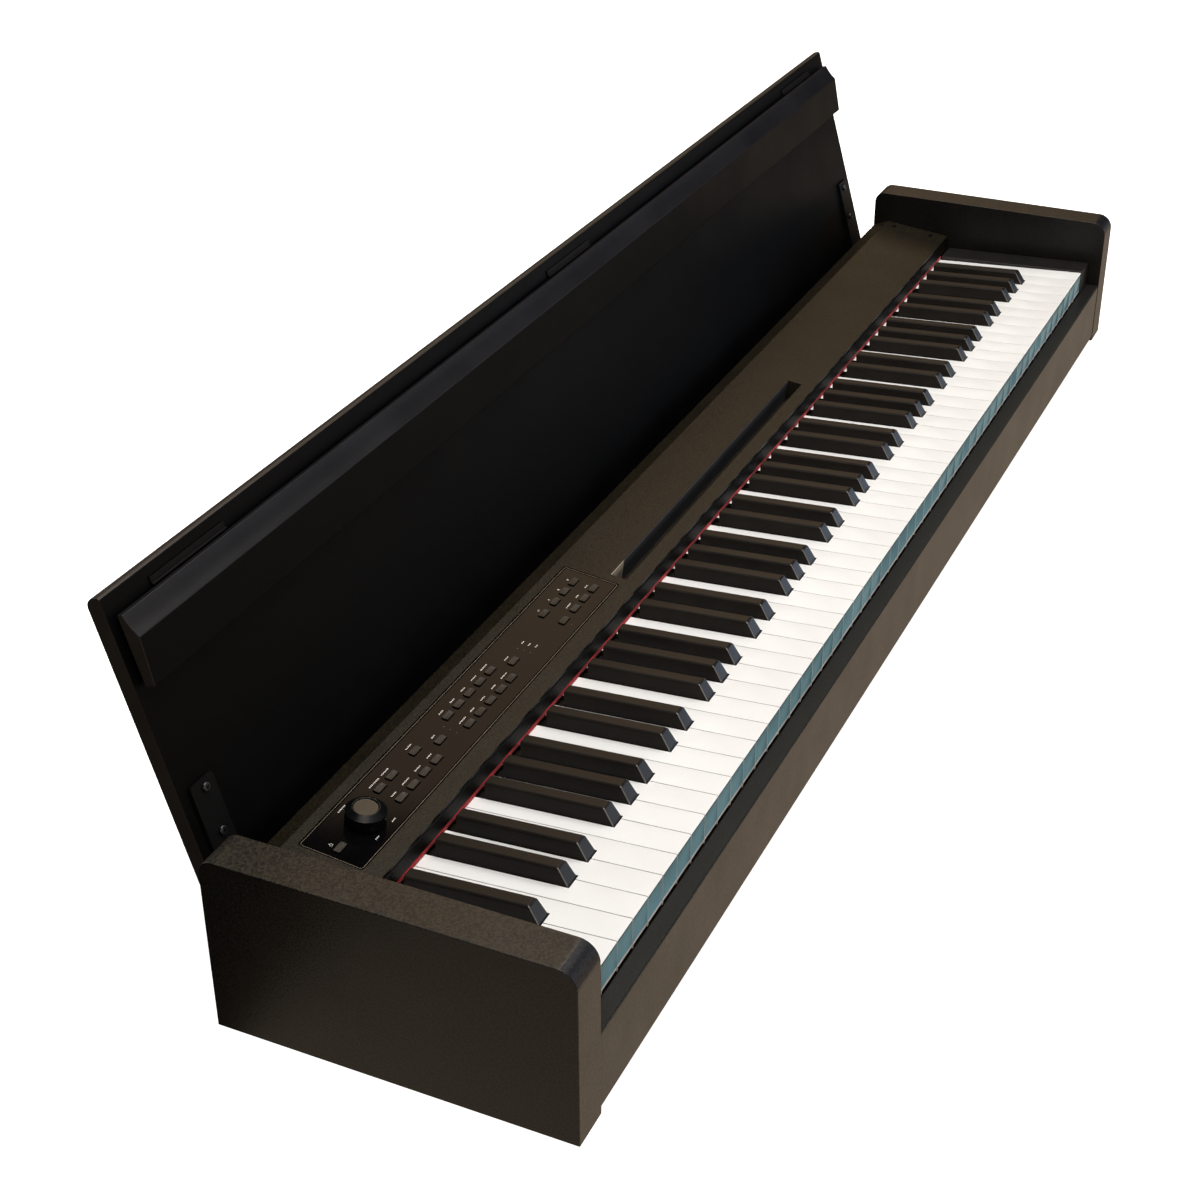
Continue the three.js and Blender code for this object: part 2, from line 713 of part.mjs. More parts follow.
function addInside(parent) {
  const half = halfKeys;
  const base = floorTop + seatGap;
  const [ridgeY, ridgeZ] = onKey(pivotAlong + fulcrumWidth / 2, stemDepth + seatGap);
  const [ridgeFrontY, ridgeFrontZ] = onKey(pivotAlong - fulcrumWidth / 2, stemDepth + seatGap);
  const rearBack = frameRearFront + frameRearDepth;
  const rear = outline([
    [frameRearFront, base], [rearBack, base], [rearBack, frameRibTop],
    [ridgeY, ridgeZ], [ridgeFrontY, ridgeFrontZ], [frameRearFront, frameRibTop],
  ]);
  const pieces = [
    block(-half, half, frameFront, frameFront + frameFrontDepth, base, frameFrontTop),
    alongX(rear, -half, half),
  ];
  for (let index = 0; index <= frameRibSpaces; index += 1) {
    const x = frameRibX(index);
    pieces.push(block(
      x - frameRibWidth / 2, x + frameRibWidth / 2,
      frameFront + frameFrontDepth / 2, frameRearFront + frameRearDepth / 2, base, frameRibTop));
  }
  part(parent, 'keybed_frame', combine(...pieces), finish('#3a3a3c', 0.6));
  const sheetBottom = frameRibTop + seatGap;
  const sheet = block(
    -half, half, contactFront, contactFront + contactDepth, sheetBottom, sheetBottom + boardSheet);
  const stripY = contactFront + contactDepth / 2;
  const strip = block(
    -half + keyGap, half - keyGap, stripY - contactStrip / 2, stripY + contactStrip / 2,
    sheetBottom + boardSheet / 2, sheetBottom + boardSheet + contactStripHeight);
  part(parent, 'key_contact_board', combine(sheet, strip), circuit());
  for (const [name, side] of [['left', -1], ['right', 1]]) {
    part(parent, `${name}_speaker`, speaker(side * speakerX, base), finish('#2a2a2c', 0.5, 0.2));
    part(parent, `${name}_hinge_bracket`, hingeBracket(side), steel());
  }
  part(parent, 'jack_panel', jackPanel(), darkPlastic());
}

function speaker(x, bottom) {
  const flangeTop = bottom + speakerFlange;
  const basketTop = flangeTop + speakerBasket;
  const flange = roundedRectangle(x, speakerCentreY, speakerWidth, speakerDepth, speakerDepth / 4);
  const inset = 2 * speakerBasketInset;
  const basket = roundedRectangle(
    x, speakerCentreY, speakerWidth - inset, speakerDepth - inset, (speakerDepth - inset) / 3);
  const magnet = bar(speakerMagnet, basketTop - seatGap, bottom + speakerMagnetHeight, 'z', 2 * boreSides);
  return combine(
    upwards(flange, bottom, flangeTop),
    upwards(basket, flangeTop - seatGap, basketTop),
    magnet.translate(x, speakerCentreY, 0));
}

function hingeBracket(side) {
  const wall = side * fitHalf;
  const plateInner = side * (fitHalf - bracketPlate);
  const pinEnd = side * (fitHalf - hingePinReach);
  const plate = block(
    Math.min(wall, plateInner), Math.max(wall, plateInner),
    lidPivotY - bracketSize / 2, lidPivotY + bracketSize / 2,
    lidPivotZ - bracketSize / 2, lidPivotZ + bracketSize / 2);
  const middle = side * (fitHalf - bracketPlate / 2);
  const pin = bar(hingePin, Math.min(middle, pinEnd), Math.max(middle, pinEnd), 'x');
  return combine(plate, pin.translate(0, lidPivotY, lidPivotZ));
}

function jackPanel() {
  const face = backFace;
  const body = block(
    -jackBlockWidth / 2, jackBlockWidth / 2, face - jackBlockDepth + seatGap, face,
    jackBlockBottom, jackBlockBottom + jackBlockHeight);
  const z = jackBlockBottom + jackBlockHeight / 2;
  const bores = [[-jackSpacing, powerInlet], [0, plugSocket], [jackSpacing, plugSocket]];
  return carve(body, bores.map(
    ([x, width]) => bar(width / 2, face - jackBoreDepth, face + overrun, 'y').translate(x, 0, z)));
}

// Lid, turned about its pivot from closed to open

function lidShape() {
  const top = lidUnder + lidThickness;
  const shape = new THREE.Shape();
  shape.moveTo(cabinetFront + lidNoseUnderRadius, lidUnder);
  shape.lineTo(lidBack, lidUnder);
  shape.absarc(lidBack - lidTailRadius, top - lidTailRadius, lidTailRadius, 0, Math.PI / 2);
  shape.absarc(cabinetFront + lidNoseRadius, top - lidNoseRadius, lidNoseRadius, Math.PI / 2, Math.PI);
  const under = lidNoseUnderRadius;
  shape.absarc(cabinetFront + under, lidUnder + under, under, Math.PI, 1.5 * Math.PI);
  return shape;
}

function hingeArm(side) {
  const outer = side * (innerHalf - armInset);
  const flangeInner = side * (innerHalf - armInset - armFlangeWidth);
  const flangeTop = lidUnder - seatGap;
  const flangeShape = roundedRectangle(
    (outer + flangeInner) / 2, (armFlangeFront + armFlangeBack) / 2,
    armFlangeWidth, armFlangeBack - armFlangeFront, armFlangeRadius);
  const flange = upwards(flangeShape, flangeTop - armFlangeThickness, flangeTop);
  const root = flangeTop - armFlangeThickness / 2;
  const webShape = new THREE.Shape();
  const webBack = lidPivotY + armWebBehindPivot;
  webShape.moveTo(webBack, root);
  webShape.lineTo(webBack, armKneeTop);
  webShape.absarc(lidPivotY, lidPivotZ, armBoss, radians(130), radians(340));
  webShape.lineTo(armFlangeBack - armFlangeRadius, armKneeTop);
  webShape.lineTo(armFlangeBack - armFlangeRadius, root);
  const webInner = side * (innerHalf - armInset - armWeb);
  const web = alongX(webShape, Math.min(outer, webInner), Math.max(outer, webInner));
  const bore = bar(armBore, -innerHalf - overrun, innerHalf + overrun, 'x').translate(0, lidPivotY, lidPivotZ);
  return carve(combine(flange, web), [bore]);
}

function flapShape() {
  const at = (along, off) => [flapAxisY + along, lidUnder - off];
  const end = flapTopGap + flapLength;
  const crestAlong = flapTopGap + flapCrestAlong;
  const shape = new THREE.Shape();
  shape.moveTo(...at(flapTopGap, flapTopInner));
  shape.lineTo(...at(flapTopGap, flapTopOuter));
  const bend = at((flapTopGap + crestAlong) / 2, flapTopOuter + (flapCrest - flapTopOuter) / 4);
  shape.quadraticCurveTo(...bend, ...at(crestAlong, flapCrest));
  shape.lineTo(...at(end, flapFootOuter));
  shape.lineTo(...at(end, flapFootInner));
  return shape;
}

function flapHinge(centreX) {
  const axisZ = lidUnder - flapAxisDrop;
  const from = centreX - flapHingeLength / 2;
  const to = centreX + flapHingeLength / 2;
  const barrel = bar(flapBarrel, from, to, 'x').translate(0, flapAxisY, axisZ);
  const leaf = block(
    from, to, flapAxisY - flapLeafLength, flapAxisY, lidUnder - seatGap - flapLeaf, lidUnder - seatGap);
  return combine(barrel, leaf);
}

function addLid(parent) {
  const opened = new THREE.Group();
  opened.position.set(0, lidPivotY, lidPivotZ);
  opened.rotation.x = -lidOpenAngle;
  parent.add(opened);
  const closed = new THREE.Group();
  closed.position.set(0, -lidPivotY, -lidPivotZ);
  opened.add(closed);
  part(closed, 'lid_board', alongX(lidShape(), -lidHalf, lidHalf), lidBlack());
  part(closed, 'left_hinge_arm', hingeArm(-1), steel());
  part(closed, 'right_hinge_arm', hingeArm(1), steel());
  const places = [['left', -1], ['centre', 0], ['right', 1]];
  for (const [name, place] of places) {
    part(closed, `flap_hinge_${name}`, flapHinge(place * flapHingeOffset), steel());
  }
  const flapHalf = innerHalf - flapEndInset;
  part(closed, 'front_flap', alongX(flapShape(), -flapHalf, flapHalf), lidBlack());
}

// The whole, with its origin under the middle of its box

const piano = new THREE.Group();
const assembly = new THREE.Group();
piano.add(assembly);
addCabinet(assembly);
addFallboard(assembly);
addKeys(assembly);
addTopPanel(assembly);
addInside(assembly);
addLid(assembly);
piano.updateMatrixWorld(true);
const bounds = new THREE.Box3().setFromObject(piano, true);
assembly.position.y = -(bounds.min.y + bounds.max.y) / 2;

export default piano;
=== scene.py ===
import json
import math
import bpy
from mathutils import Matrix, Vector


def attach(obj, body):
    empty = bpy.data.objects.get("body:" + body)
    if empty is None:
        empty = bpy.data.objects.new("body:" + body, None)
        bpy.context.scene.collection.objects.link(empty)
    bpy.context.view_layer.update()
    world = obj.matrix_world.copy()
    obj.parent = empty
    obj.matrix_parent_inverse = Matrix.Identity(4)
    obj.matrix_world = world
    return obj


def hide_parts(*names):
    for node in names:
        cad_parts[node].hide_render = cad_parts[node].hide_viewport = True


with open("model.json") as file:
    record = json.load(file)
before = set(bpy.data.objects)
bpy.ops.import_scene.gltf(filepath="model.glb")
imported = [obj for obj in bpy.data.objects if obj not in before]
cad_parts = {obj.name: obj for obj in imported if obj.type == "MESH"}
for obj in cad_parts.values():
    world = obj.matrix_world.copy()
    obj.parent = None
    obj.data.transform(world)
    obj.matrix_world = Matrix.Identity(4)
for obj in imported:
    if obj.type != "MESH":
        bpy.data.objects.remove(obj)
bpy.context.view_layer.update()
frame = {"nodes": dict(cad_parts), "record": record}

mm = 0.001
nodes = frame["nodes"]
partRows = {row["node"]: row for row in frame["record"]["subparts"]}
print("frame loaded:", len(nodes), "nodes")

# The top panel's slope and the open lid, each as a frame to build in
slope = {'front': 1.424, 'height': 94.9, 'angle': 6.35, 'overlayLevel': -0.3}
lid = {'pivotY': 57.024, 'pivotZ': 76.1, 'closedPivotY': 212.1, 'angle': -106.4, 'under': 117.0}


def moved(x, y, z):
    # a shift in millimetres
    return Matrix.Translation((x * mm, y * mm, z * mm))


def turned(degrees, axis):
    return Matrix.Rotation(math.radians(degrees), 4, axis)


slopeFrame = moved(0, slope['front'], slope['height']) @ turned(slope['angle'], 'X')
lidFrame = moved(0, lid['pivotY'], lid['pivotZ']) @ turned(lid['angle'], 'X') @ moved(
    0, -lid['closedPivotY'], -lid['pivotZ'])


# Helpers for selecting and shaping

# Limits for picking: what counts as one point and as one flat face, in millimetres and degrees,
# and how squarely a face has to look up or sideways or to the front
pickLimits = {'sameSpot': 0.002, 'flatAngle': 0.6, 'square': 0.9, 'sideways': 0.95, 'front': -0.6}


def deselectAll():
    for item in bpy.context.selected_objects:
        item.select_set(False)


def makeActive(piece):
    deselectAll()
    piece.select_set(True)
    bpy.context.view_layer.objects.active = piece


def editFaces(piece, wanted):
    # opens edit mode with only the wanted faces selected
    makeActive(piece)
    bpy.ops.object.mode_set(mode='EDIT')
    bpy.ops.mesh.select_mode(type='FACE')
    bpy.ops.mesh.select_all(action='DESELECT')
    bpy.ops.object.mode_set(mode='OBJECT')
    for face in piece.data.polygons:
        face.select = wanted(face)
    bpy.ops.object.mode_set(mode='EDIT')


def endEdit():
    bpy.ops.object.mode_set(mode='OBJECT')


def applyModifiers(piece):
    makeActive(piece)
    for modifier in list(piece.modifiers):
        bpy.ops.object.modifier_apply(modifier=modifier.name)


def bevelEdges(piece, width, segments=2, angle=28, smooth=32):
    bevel = piece.modifiers.new("edge rounding", 'BEVEL')
    bevel.width = width * mm
    bevel.segments = segments
    bevel.limit_method = 'ANGLE'
    bevel.angle_limit = math.radians(angle)
    bevel.use_clamp_overlap = True
    applyModifiers(piece)
    bpy.ops.object.shade_smooth_by_angle(angle=math.radians(smooth))
    weighted = piece.modifiers.new("flat faces stay flat", 'WEIGHTED_NORMAL')
    weighted.keep_sharp = True
    weighted.weight = 100
    applyModifiers(piece)


def cutAway(piece, cutter):
    # takes the cutter's shape out of the piece
    boolean = piece.modifiers.new("cut", 'BOOLEAN')
    boolean.operation = 'DIFFERENCE'
    boolean.solver = 'EXACT'
    boolean.object = cutter
    applyModifiers(piece)
    bpy.data.objects.remove(cutter)


def joinPieces(pieces, name):
    makeActive(pieces[0])
    for piece in pieces:
        piece.select_set(True)
    bpy.ops.object.join()
    whole = bpy.context.view_layer.objects.active
    whole.name = name
    return whole


def blockAt(name, low, high):
    # a block between two corners in millimetres
    deselectAll()
    centre = [(a + b) / 2 * mm for a, b in zip(low, high)]
    bpy.ops.mesh.primitive_cube_add(size=1, location=centre)
    piece = bpy.context.active_object
    piece.name = name
    piece.scale = [(b - a) * mm for a, b in zip(low, high)]
    bpy.ops.object.transform_apply(location=True, rotation=True, scale=True)
    return piece


def discAt(name, centre, radius, depth, sides=32):
    # a round bar that stands on its centre along Z
    deselectAll()
    place = (centre[0] * mm, centre[1] * mm, (centre[2] + depth / 2) * mm)
    bpy.ops.mesh.primitive_cylinder_add(vertices=sides, radius=radius * mm, depth=depth * mm, location=place)
    piece = bpy.context.active_object
    piece.name = name
    bpy.ops.object.transform_apply(location=True, rotation=True, scale=True)
    return piece


def roundEdges(piece, wanted, radius, segments):
    # rounds the edges whose direction passes the test
    makeActive(piece)
    bpy.ops.object.mode_set(mode='EDIT')
    bpy.ops.mesh.select_mode(type='EDGE')
    bpy.ops.mesh.select_all(action='DESELECT')
    bpy.ops.object.mode_set(mode='OBJECT')
    for edge in piece.data.edges:
        a, b = (piece.data.vertices[i].co for i in edge.vertices)
        edge.select = wanted(b - a)
    bpy.ops.object.mode_set(mode='EDIT')
    bpy.ops.mesh.bevel(offset=radius * mm, segments=segments, affect='EDGES')
    endEdit()


def copyPiece(piece, name, place):
    other = piece.copy()
    other.data = piece.data.copy()
    other.name = name
    bpy.context.scene.collection.objects.link(other)
    other.matrix_world = place
    return other


def settle(piece, body, slot, *replaced):
    # the place goes into the mesh, then the piece rides on its body
    makeActive(piece)
    bpy.ops.object.transform_apply(location=True, rotation=True, scale=True)
    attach(piece, body)
    if replaced:
        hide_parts(*replaced)
    return piece


def layOnSlope(piece, material, slot):
    # a piece built flat at the origin goes to its place on the top panel
    piece.data.transform(slopeFrame)
    piece.data.materials.append(material)
    return settle(piece, "cabinet", slot)


def copyOfNode(node, name):
    # the node's solid, merged and with its flat faces whole again
    piece = bpy.data.objects.new(name, nodes[node].data.copy())
    bpy.context.scene.collection.objects.link(piece)
    piece.data.materials.clear()
    makeActive(piece)
    bpy.ops.object.mode_set(mode='EDIT')
    bpy.ops.mesh.select_all(action='SELECT')
    bpy.ops.mesh.remove_doubles(threshold=pickLimits['sameSpot'] * mm)
    bpy.ops.mesh.dissolve_limited(angle_limit=math.radians(pickLimits['flatAngle']))
    bpy.ops.object.mode_set(mode='OBJECT')
    return piece


def bodyOf(node):
    for body, carried in frame["record"]["behaviour"]["bodies"].items():
        if node in carried:
            return body


def finishedCopy(node, name, width, material, segments=2):
    piece = copyOfNode(node, name)
    bevelEdges(piece, width, segments)
    piece.data.materials.append(material)
    return settle(piece, bodyOf(node), partRows[node]["material_slot"], node)


def paintFaces(piece, material, wanted):
    # faces that pass the test get one more material
    piece.data.materials.append(material)
    index = len(piece.data.materials) - 1
    for face in piece.data.polygons:
        if wanted(face):
            face.material_index = index


# Colours and materials

def linear(hexColour):
    channels = [int(hexColour[i:i + 2], 16) / 255 for i in (1, 3, 5)]
    return tuple(c / 12.92 if c <= 0.04045 else ((c + 0.055) / 1.055) ** 2.4 for c in channels) + (1.0,)


def addNode(tree, kind, settings=None, inputs=None, links=None):
    node = tree.nodes.new(kind)
    for key, value in (settings or {}).items():
        setattr(node, key, value)
    for key, value in (inputs or {}).items():
        node.inputs[key].default_value = value
    for key, source in (links or {}).items():
        tree.links.new(source, node.inputs[key])
    return node


def newMaterial(name, inputs):
    material = bpy.data.materials.new(name)
    material.use_nodes = True
    shader = material.node_tree.nodes["Principled BSDF"]
    for key, value in inputs.items():
        shader.inputs[key].default_value = value
    return material, material.node_tree, shader


grainLook = {'detail': 3.0, 'roughness': 0.6, 'wideDetail': 4.0, 'speckle': 0.5, 'contrast': 0.12,
             'roughSpread': 0.04, 'low': 0.3, 'high': 0.7}


def addGrain(tree, shader, finish):
    # fine noise in object space gives the relief; with a wide one it drifts colour and gloss
    look = dict(grainLook, **finish)
    place = addNode(tree, 'ShaderNodeTexCoord').outputs['Object']
    place = addNode(tree, 'ShaderNodeMapping', inputs={'Scale': look.get('stretch', (1, 1, 1))},
                    links={'Vector': place}).outputs[0]
    fine = addNode(tree, 'ShaderNodeTexNoise',
                   inputs={'Scale': 1 / (look['grain'] * mm), 'Detail': look['detail'],
                           'Roughness': look['roughness']},
                   links={'Vector': place}).outputs[0]
    wide = addNode(tree, 'ShaderNodeTexNoise',
                   inputs={'Scale': 1 / (look['drift'] * mm), 'Detail': look['wideDetail']},
                   links={'Vector': place}).outputs[0]
    bump = addNode(tree, 'ShaderNodeBump', inputs={'Strength': 1.0, 'Distance': look['relief'] * mm},
                   links={'Height': fine})
    tree.links.new(bump.outputs['Normal'], shader.inputs['Normal'])
    blend = addNode(tree, 'ShaderNodeMix', {'data_type': 'FLOAT'}, {0: look['speckle']},
                    {2: wide, 3: fine}).outputs[0]
    ramp = addNode(tree, 'ShaderNodeValToRGB', links={'Fac': blend})
    for element, shift, colour in zip(ramp.color_ramp.elements, (-1, 1), (look['dark'], look['light'])):
        element.position = 0.5 + shift * look['contrast']
        element.color = linear(colour)
    tree.links.new(ramp.outputs['Color'], shader.inputs['Base Color'])
    spread = addNode(tree, 'ShaderNodeMapRange', inputs={
        'From Min': look['low'], 'From Max': look['high'],
        'To Min': look['rough'] - look['roughSpread'],
        'To Max': look['rough'] + look['roughSpread']}, links={'Value': wide})
    tree.links.new(spread.outputs[0], shader.inputs['Roughness'])


def makeFinish(name, look, **inputs):
    material, tree, shader = newMaterial(name, inputs)
    addGrain(tree, shader, look)
    return material


# Embossed decor foil on board: nearly black, its brown comes from the room. A fine leathery grain
# breaks every highlight into specks; the real grain of 0.4 mm is drawn wider so that it shows.
foil = {'grain': 1.7, 'drift': 40, 'relief': 0.14, 'rough': 0.42, 'roughSpread': 0.03,
        'speckle': 0.92, 'contrast': 0.1}
foilSide = makeFinish("embossed foil, end panels", dict(foil, dark='#0d0b08', light='#322c22'),
                      **{'Specular IOR Level': 0.55, 'IOR': 1.5})
# the end panels' outer and inner sides: the same foil painted darker, as painted shade
foilOuterShade = makeFinish("embossed foil, outer sides in painted shade", dict(foil, dark='#0c0b0a', light='#1d1b18'),
                       **{'Specular IOR Level': 0.28, 'IOR': 1.5})
foilInnerShade = makeFinish("embossed foil, inner sides in painted shade", dict(foil, dark='#070706', light='#13120f'),
                       **{'Specular IOR Level': 0.28, 'IOR': 1.5})
# rounded corners: the foil painted dark blue-grey, a painted cool reflection
foilCornerReflection = makeFinish("embossed foil, rounded corners with painted cool reflection", dict(foil, dark='#111216', light='#22242b'),
                        **{'Specular IOR Level': 0.24, 'IOR': 1.5})
foilTop = makeFinish("embossed foil, top panel", dict(foil, dark='#0c0a06', light='#282214', rough=0.45),
                     **{'Specular IOR Level': 0.38, 'IOR': 1.5})
foilFront = makeFinish("embossed foil, front board", dict(foil, dark='#100f0d', light='#2e2a24'),
                       **{'Specular IOR Level': 0.55, 'IOR': 1.5})
foilSlip = makeFinish("embossed foil, key slip", dict(foil, dark='#12110f', light='#1e1c19', rough=0.5),
                      **{'Specular IOR Level': 0.33, 'IOR': 1.5})
# the key slip's front edge painted dark blue-grey: painted shade where the slip meets the front board
slipEdgeShade = makeFinish("painted shade, key slip front edge", dict(foil, dark='#14181b', light='#1c2226', relief=0.02),
                      **{'Specular IOR Level': 0.1, 'IOR': 1.5})
# Satin lacquer foil: deep black with a broad, weak sheen.
satin = {'grain': 0.7, 'drift': 60, 'relief': 0.012, 'rough': 0.42, 'speckle': 0.6}
lidSatin = makeFinish("satin foil, lid inside", dict(satin, dark='#040404', light='#070708'),
                      **{'Specular IOR Level': 0.05, 'IOR': 1.5})
# the flap's upward faces painted lighter and bluish: a painted cool reflection
flapCrestReflection = makeFinish("satin foil, flap crest with painted cool reflection", dict(satin, dark='#131317', light='#19191e'),
                       **{'Specular IOR Level': 0.3, 'IOR': 1.5})
lidEdgeFoil = makeFinish("satin foil, lid edges", dict(satin, dark='#292522', light='#332f2a'),
                         **{'Specular IOR Level': 0.4, 'IOR': 1.5})
# Cast acrylic: smooth and slightly warm, with a clear but soft reflection.
acrylic = {'grain': 3.0, 'drift': 90, 'relief': 0.002, 'rough': 0.2, 'speckle': 0.2}
keyTopAcrylic = makeFinish("acrylic, white key tops",
                           dict(acrylic, dark='#f6f8fa', light='#fafcff', rough=0.35),
                           **{'Specular IOR Level': 0.16, 'IOR': 1.49})
# white key fronts painted teal: painted shade with a cool reflection
keyFrontShade = makeFinish("white acrylic, key fronts in painted teal shade", dict(acrylic, dark='#74a4b8', light='#80b1c6'),
                             **{'Specular IOR Level': 0.4, 'IOR': 1.49})
keyLipPlastic = makeFinish("moulded ABS, key lips", dict(acrylic, dark='#f4f2ee', light='#fbf9f5'),
                           **{'IOR': 1.53})
# a thin darker band along the top of the key fronts: a painted shadow line
keyEdgeShade = makeFinish("painted shadow line, key front edge", dict(acrylic, dark='#3c5560', light='#46616d'),
                          **{'Specular IOR Level': 0.2, 'IOR': 1.49})
# the white keys' sides painted grey: painted shade in the gaps between keys
keySideShade = makeFinish("white key sides in painted shade", dict(acrylic, dark='#c4c6c6', light='#d0d2d2', rough=0.6),
                         **{'Specular IOR Level': 0.2, 'IOR': 1.5})
notchShade = makeFinish("shadowed core, black key notches",
                        dict(acrylic, dark='#262422', light='#312e2b', rough=0.7),
                        **{'Specular IOR Level': 0.1, 'IOR': 1.5})
# Moulded phenolic with a satin top; the thin line of light along the nose edges is a painted highlight.
phenolic = {'grain': 0.6, 'drift': 40, 'relief': 0.01, 'rough': 0.36, 'speckle': 0.5}
ebonyPlastic = makeFinish("satin phenolic, black keys", dict(phenolic, dark='#181614', light='#211e1b'),
                          **{'Specular IOR Level': 0.22, 'IOR': 1.53})
ebonySide = makeFinish("satin phenolic, black key sides",
                       dict(phenolic, dark='#1b1816', light='#24201d', rough=0.5),
                       **{'Specular IOR Level': 0.1, 'IOR': 1.53})
ebonyEdgeHighlight = makeFinish("painted highlight, black key nose edges",
                       dict(phenolic, dark='#5d5a56', light='#75716b', rough=0.3),
                       **{'Specular IOR Level': 0.5, 'IOR': 1.53})
# black key noses painted blue-grey: a painted cool reflection
ebonyNoseReflection = makeFinish("satin phenolic, black key noses", dict(phenolic, dark='#10161e', light='#161d27'),
                       **{'Specular IOR Level': 0.4, 'IOR': 1.53})
# Injection moulded ABS: the overlay is nearly a mirror, the fallboard smears the keys to soft patches.
gloss = {'grain': 6.0, 'drift': 60, 'relief': 0.003, 'rough': 0.1, 'roughSpread': 0.02, 'speckle': 0.2}
pianoBlack = makeFinish("silk ABS, fallboard", dict(gloss, dark='#070606', light='#090808', rough=0.45),
                        **{'Specular IOR Level': 0.13, 'IOR': 1.53})
overlayGloss = makeFinish("gloss acrylic, control overlay",
                          dict(gloss, dark='#060608', light='#09090b', rough=0.08),
                          **{'Specular IOR Level': 0.18, 'IOR': 1.49})
# Injection moulded ABS, fine spark texture: dull, with tiny glints.
moulded = {'grain': 0.5, 'drift': 30, 'relief': 0.012, 'rough': 0.45, 'speckle': 0.6}
cheekPlastic = makeFinish("grained ABS, cheek blocks", dict(moulded, dark='#151312', light='#1c1a18'),
                          **{'IOR': 1.53})
buttonPlastic = makeFinish("satin ABS, button skirts",
                           dict(moulded, dark='#0d0d0e', light='#131314', rough=0.35),
                           **{'IOR': 1.53})
buttonFace = makeFinish("satin ABS, button faces",
                        dict(moulded, dark='#2b2721', light='#353029', rough=0.42),
                        **{'IOR': 1.53})
knobPlastic = makeFinish("satin ABS, knob",
                         dict(moulded, dark='#090a0c', light='#0f1013', rough=0.3, relief=0.004),
                         **{'Specular IOR Level': 0.14, 'IOR': 1.53})
knobDiscPlastic = makeFinish("spun ABS, knob disc",
                             dict(moulded, dark='#453f34', light='#514a3e', rough=0.4),
                             **{'IOR': 1.53})
chassisPlastic = makeFinish("moulded ABS, keybed frame",
                            dict(moulded, dark='#262628', light='#303033', rough=0.55),
                            **{'IOR': 1.53})
speakerSteel = makeFinish("painted steel, speaker baskets", dict(moulded, dark='#19191b', light='#222225'),
                          **{'IOR': 1.5})
printWhite = makeFinish("screen print, pale grey",
                        dict(moulded, dark='#c9c7c2', light='#d9d7d2', rough=0.6, relief=0.004),
                        **{'IOR': 1.5})
edgeLine = makeFinish("moulded ABS, overlay rim", dict(moulded, dark='#6a6155', light='#7b7164', rough=0.3),
                      **{'IOR': 1.53})
# nearly black rings: the soft seal at the knob's foot, and lines of painted shade along the overlay's border
darkSealAndShade = makeFinish("soft rubber knob seal and painted shade lines", dict(moulded, dark='#030303', light='#050505', rough=0.8),
                          **{'Specular IOR Level': 0.03, 'IOR': 1.5})
# a pale sheet at the bass end of the groove's back wall is a painted patch of light; the dark sheet along the
# rest is painted shade
grooveLitPatch = makeFinish("painted patch of light, groove back wall",
                     dict(moulded, dark='#a39a8a', light='#b8ae9d', rough=0.7),
                     **{'IOR': 1.5})
grooveWallShade = makeFinish("painted shade, groove back wall",
                         dict(moulded, dark='#2b2d34', light='#373941', rough=0.6),
                         **{'IOR': 1.5})
# Pressed wool felt: no gloss, short fibres that catch the light at its edge.
redFelt = makeFinish("wool felt, red", {
    'grain': 0.5, 'drift': 12, 'relief': 0.15, 'rough': 0.95, 'speckle': 0.7,
    'dark': '#8e0d17', 'light': '#bb1b28'},
    **{'Specular IOR Level': 0.1, 'Sheen Weight': 0.15, 'Sheen Roughness': 0.5})
# Zinc plated sheet steel: rolling lines along the sheet and a grey, soft mirror.
plated = {'grain': 0.4, 'drift': 25, 'relief': 0.004, 'rough': 0.34, 'speckle': 0.5, 'stretch': (0.1, 1, 1)}
hingeSteel = makeFinish("zinc plated steel",
                        dict(plated, dark='#7d7f82', light='#96989b'), **{'Metallic': 1.0})
screwSteel = makeFinish("black nickel plated steel, screws",
                        dict(plated, dark='#3f4044', light='#55565a', rough=0.3),
                        **{'Metallic': 1.0})
blackSteel = makeFinish("black oxide steel", dict(plated, dark='#070708', light='#0c0c0d', rough=0.45),
                        **{'Specular IOR Level': 0.1, 'IOR': 1.5})
# Raw particle board: pressed chips in three browns, dusty and without gloss.
rawBoard = makeFinish("raw particle board", {
    'grain': 2.2, 'drift': 14, 'relief': 0.12, 'rough': 0.9, 'speckle': 0.7,
    'dark': '#6d5338', 'light': '#a58a64'},
    **{'Specular IOR Level': 0.1})
# Solder mask on glass fibre: green, glossy enough to show a soft window.
solderMask = makeFinish("solder mask, circuit boards", {
    'grain': 1.5, 'drift': 10, 'relief': 0.01, 'rough': 0.35, 'speckle': 0.4,
    'dark': '#123a20', 'light': '#1b5530'},
    **{'IOR': 1.55})
print("materials made:", len(bpy.data.materials))


# Camera and light, at the photograph's viewing angle

